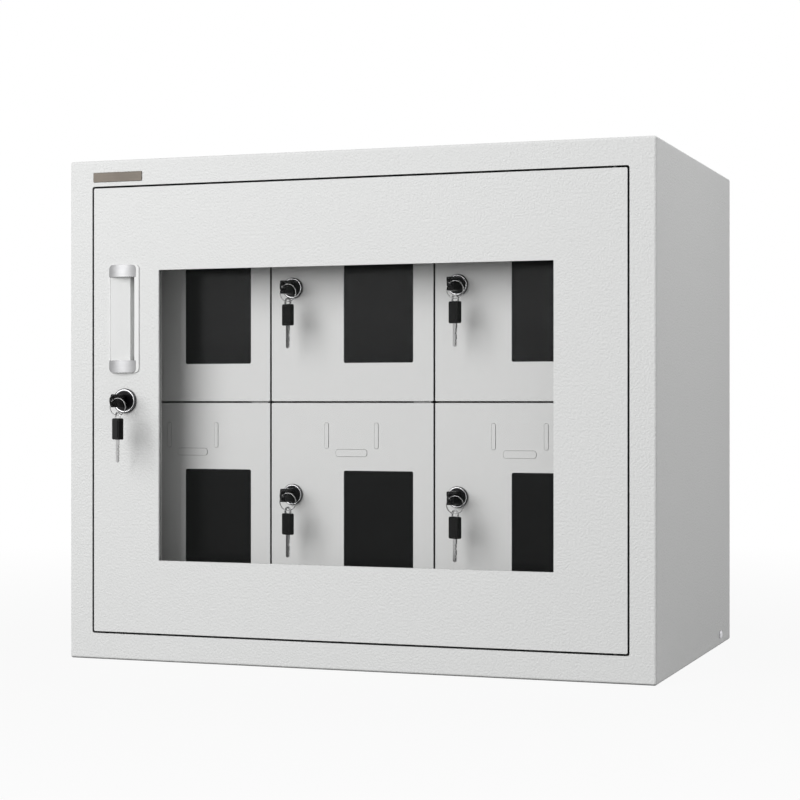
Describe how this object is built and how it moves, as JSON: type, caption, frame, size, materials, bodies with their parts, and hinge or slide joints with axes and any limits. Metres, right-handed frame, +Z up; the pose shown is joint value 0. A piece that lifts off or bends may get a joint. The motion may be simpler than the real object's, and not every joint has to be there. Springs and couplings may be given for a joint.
{
  "type": "phone locker cabinet",
  "caption": "Sheet-steel phone locker: a glazed lockable outer door over small keyed compartment doors with dark windows.",
  "frame": {"origin": "middle of the casing's underside", "axes": "+X to the right of the doors, +Y into the cabinet from the door side, +Z up"},
  "size_m": [0.6048, 0.4087, 0.5],
  "materials": {
    "powder_coat": "fine orange-peel light grey powder coat",
    "inner_coat": "smooth light grey powder coat",
    "clear_pane": "clear polished",
    "smoked_pane": "near-black smoked acrylic",
    "handle_plastic": "light grey moulded",
    "satin_metal": "satin",
    "chrome_trim": "polished",
    "zinc_steel": "zinc plated",
    "lock_black": "satin black",
    "key_steel": "nickel plated",
    "key_black": "moulded black",
    "badge_metal": "brushed bronze, blank"
  },
  "bodies": {
    "root": {"body_shell": "powder_coat", "back_panel": "powder_coat", "side_screws": "zinc_steel", "badge_plate": "badge_metal", "inner_mask": "inner_coat", "bottom_shelf": "inner_coat", "middle_shelf": "inner_coat", "top_shelf": "inner_coat", "upright_1": "inner_coat", "upright_2": "inner_coat", "upright_3": "inner_coat", "upright_4": "inner_coat", "inner_pivot_pins": "zinc_steel", "outer_hinge_pins": "zinc_steel"},
    "outer_door": {"outer_door_panel": "powder_coat", "outer_door_pane": "clear_pane", "pane_retainer": "inner_coat", "pane_screws": "zinc_steel", "handle_cup": "handle_plastic", "handle_end_caps": "satin_metal", "outer_lock_barrel": "chrome_trim", "outer_lock_nut": "zinc_steel"},
    "outer_cylinder": {"outer_lock_plug": "lock_black", "outer_lock_cam": "zinc_steel"},
    "outer_key": {"outer_key_blade": "key_steel", "outer_key_head": "key_black"},
    "outer_keyring": {"outer_key_ring": "key_steel", "outer_spare_blade": "key_steel", "outer_spare_head": "key_black"},
    "door_1": {"door_1_panel": "inner_coat", "door_1_window": "smoked_pane", "door_1_lock_barrel": "chrome_trim"},
    "cylinder_1": {"door_1_lock_cylinder": "lock_black"},
    "keyring_1": {"door_1_spare_key": "key_black"},
    "door_2": {"door_2_panel": "inner_coat", "door_2_window": "smoked_pane", "door_2_lock_barrel": "chrome_trim"},
    "cylinder_2": {"door_2_lock_cylinder": "lock_black"},
    "keyring_2": {"door_2_spare_key": "key_black"},
    "door_3": {"door_3_panel": "inner_coat", "door_3_window": "smoked_pane", "door_3_lock_barrel": "chrome_trim"},
    "cylinder_3": {"door_3_lock_cylinder": "lock_black"},
    "keyring_3": {"door_3_spare_key": "key_black"},
    "door_4": {"door_4_panel": "inner_coat", "door_4_window": "smoked_pane", "door_4_lock_barrel": "chrome_trim"},
    "cylinder_4": {"door_4_lock_cylinder": "lock_black"},
    "keyring_4": {"door_4_spare_key": "key_black"},
    "door_5": {"door_5_panel": "inner_coat", "door_5_window": "smoked_pane", "door_5_lock_barrel": "chrome_trim"},
    "cylinder_5": {"door_5_lock_cylinder": "lock_black"},
    "keyring_5": {"door_5_spare_key": "key_black"},
    "door_6": {"door_6_panel": "inner_coat", "door_6_window": "smoked_pane", "door_6_lock_barrel": "chrome_trim"},
    "cylinder_6": {"door_6_lock_cylinder": "lock_black"},
    "keyring_6": {"door_6_spare_key": "key_black"}
  },
  "joints": [
    {"name": "outer_door_hinge", "type": "hinge", "parent": "root", "child": "outer_door", "pos_m": [0.261, -0.1825, 0.25], "axis": [0, 0, 1], "range_deg": [0, 115]},
    {"name": "outer_lock_turn", "type": "hinge", "parent": "outer_door", "child": "outer_cylinder", "pos_m": [-0.238, -0.1875, 0.259], "axis": [0, -1, 0], "range_deg": [0, 90]},
    {"name": "outer_key_slide", "type": "slide", "parent": "outer_cylinder", "child": "outer_key", "axis": [0, -1, 0], "range_m": [0, 0.024]},
    {"name": "outer_keyring_hang", "type": "hinge", "parent": "outer_key", "child": "outer_keyring", "pos_m": [-0.238, -0.2152, 0.259], "axis": [0, -1, 0], "range_deg": [-90, 0]},
    {"name": "door_1_hinge", "type": "hinge", "parent": "root", "child": "door_1", "pos_m": [-0.1146, -0.1325, 0.3629], "axis": [0, 0, 1], "range_deg": [0, 92]},
    {"name": "lock_1_turn", "type": "hinge", "parent": "door_1", "child": "cylinder_1", "pos_m": [-0.2498, -0.1375, 0.371], "axis": [0, -1, 0], "range_deg": [0, 90]},
    {"name": "keyring_1_hang", "type": "hinge", "parent": "cylinder_1", "child": "keyring_1", "pos_m": [-0.2498, -0.1652, 0.371], "axis": [0, -1, 0], "range_deg": [-90, 0]},
    {"name": "door_2_hinge", "type": "hinge", "parent": "root", "child": "door_2", "pos_m": [0.0576, -0.1325, 0.3629], "axis": [0, 0, 1], "range_deg": [0, 92]},
    {"name": "lock_2_turn", "type": "hinge", "parent": "door_2", "child": "cylinder_2", "pos_m": [-0.0776, -0.1375, 0.371], "axis": [0, -1, 0], "range_deg": [0, 90]},
    {"name": "keyring_2_hang", "type": "hinge", "parent": "cylinder_2", "child": "keyring_2", "pos_m": [-0.0776, -0.1652, 0.371], "axis": [0, -1, 0], "range_deg": [-90, 0]},
    {"name": "door_3_hinge", "type": "hinge", "parent": "root", "child": "door_3", "pos_m": [0.2298, -0.1325, 0.3629], "axis": [0, 0, 1], "range_deg": [0, 92]},
    {"name": "lock_3_turn", "type": "hinge", "parent": "door_3", "child": "cylinder_3", "pos_m": [0.0946, -0.1375, 0.371], "axis": [0, -1, 0], "range_deg": [0, 90]},
    {"name": "keyring_3_hang", "type": "hinge", "parent": "cylinder_3", "child": "keyring_3", "pos_m": [0.0946, -0.1652, 0.371], "axis": [0, -1, 0], "range_deg": [-90, 0]},
    {"name": "door_4_hinge", "type": "hinge", "parent": "root", "child": "door_4", "pos_m": [-0.1146, -0.1325, 0.1578], "axis": [0, 0, 1], "range_deg": [0, 92]},
    {"name": "lock_4_turn", "type": "hinge", "parent": "door_4", "child": "cylinder_4", "pos_m": [-0.2498, -0.1375, 0.1659], "axis": [0, -1, 0], "range_deg": [0, 90]},
    {"name": "keyring_4_hang", "type": "hinge", "parent": "cylinder_4", "child": "keyring_4", "pos_m": [-0.2498, -0.1652, 0.1659], "axis": [0, -1, 0], "range_deg": [-90, 0]},
    {"name": "door_5_hinge", "type": "hinge", "parent": "root", "child": "door_5", "pos_m": [0.0576, -0.1325, 0.1578], "axis": [0, 0, 1], "range_deg": [0, 92]},
    {"name": "lock_5_turn", "type": "hinge", "parent": "door_5", "child": "cylinder_5", "pos_m": [-0.0776, -0.1375, 0.1659], "axis": [0, -1, 0], "range_deg": [0, 90]},
    {"name": "keyring_5_hang", "type": "hinge", "parent": "cylinder_5", "child": "keyring_5", "pos_m": [-0.0776, -0.1652, 0.1659], "axis": [0, -1, 0], "range_deg": [-90, 0]},
    {"name": "door_6_hinge", "type": "hinge", "parent": "root", "child": "door_6", "pos_m": [0.2298, -0.1325, 0.1578], "axis": [0, 0, 1], "range_deg": [0, 92]},
    {"name": "lock_6_turn", "type": "hinge", "parent": "door_6", "child": "cylinder_6", "pos_m": [0.0946, -0.1375, 0.1659], "axis": [0, -1, 0], "range_deg": [0, 90]},
    {"name": "keyring_6_hang", "type": "hinge", "parent": "cylinder_6", "child": "keyring_6", "pos_m": [0.0946, -0.1652, 0.1659], "axis": [0, -1, 0], "range_deg": [-90, 0]}
  ],
  "couplings": [
    {"joint": "outer_keyring_hang", "follows": "outer_lock_turn", "ratio": -1},
    {"joint": "door_1_hinge", "follows": "outer_door_hinge", "ratio": 0.8},
    {"joint": "keyring_1_hang", "follows": "lock_1_turn", "ratio": -1},
    {"joint": "door_2_hinge", "follows": "outer_door_hinge", "ratio": 0.8},
    {"joint": "keyring_2_hang", "follows": "lock_2_turn", "ratio": -1},
    {"joint": "door_3_hinge", "follows": "outer_door_hinge", "ratio": 0.8},
    {"joint": "keyring_3_hang", "follows": "lock_3_turn", "ratio": -1},
    {"joint": "door_4_hinge", "follows": "outer_door_hinge", "ratio": 0.8},
    {"joint": "keyring_4_hang", "follows": "lock_4_turn", "ratio": -1},
    {"joint": "door_5_hinge", "follows": "outer_door_hinge", "ratio": 0.8},
    {"joint": "keyring_5_hang", "follows": "lock_5_turn", "ratio": -1},
    {"joint": "door_6_hinge", "follows": "outer_door_hinge", "ratio": 0.8},
    {"joint": "keyring_6_hang", "follows": "lock_6_turn", "ratio": -1}
  ]
}
